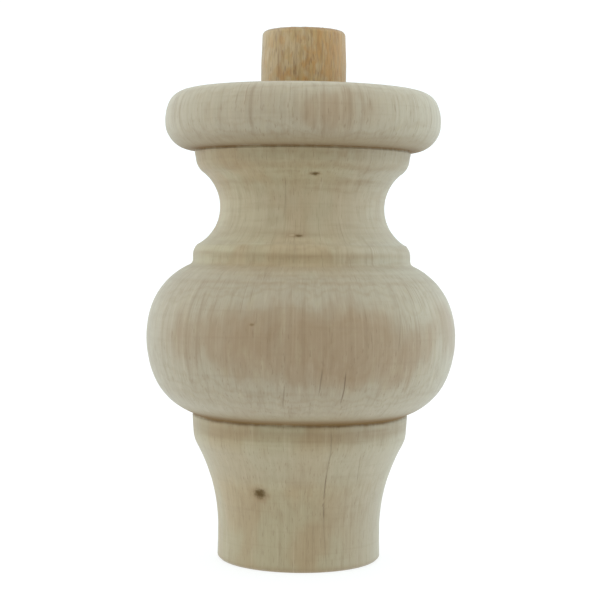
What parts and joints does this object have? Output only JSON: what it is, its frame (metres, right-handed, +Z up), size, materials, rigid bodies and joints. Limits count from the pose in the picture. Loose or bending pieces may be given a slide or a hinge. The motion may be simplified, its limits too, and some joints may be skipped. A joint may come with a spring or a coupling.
{
  "type": "wooden furniture foot",
  "caption": "Turned hardwood bun foot for furniture: disc top, waisted neck, round bulb and tapered ankle, with a glued dowel that plugs into the piece above.",
  "frame": {"origin": "centre of the flat base, on the floor", "axes": "+Z up along the turning axis, towards the dowel"},
  "size_m": [0.0926, 0.0926, 0.1578],
  "materials": {
    "foot_wood": "bare sanded hardwood, pale greyish tan, fine straight grain",
    "dowel_wood": "bare straight-grained dowel rod, a little more orange than the foot"
  },
  "bodies": {
    "root": {"turned_foot": "foot_wood", "dowel": "dowel_wood"}
  },
  "joints": []
}
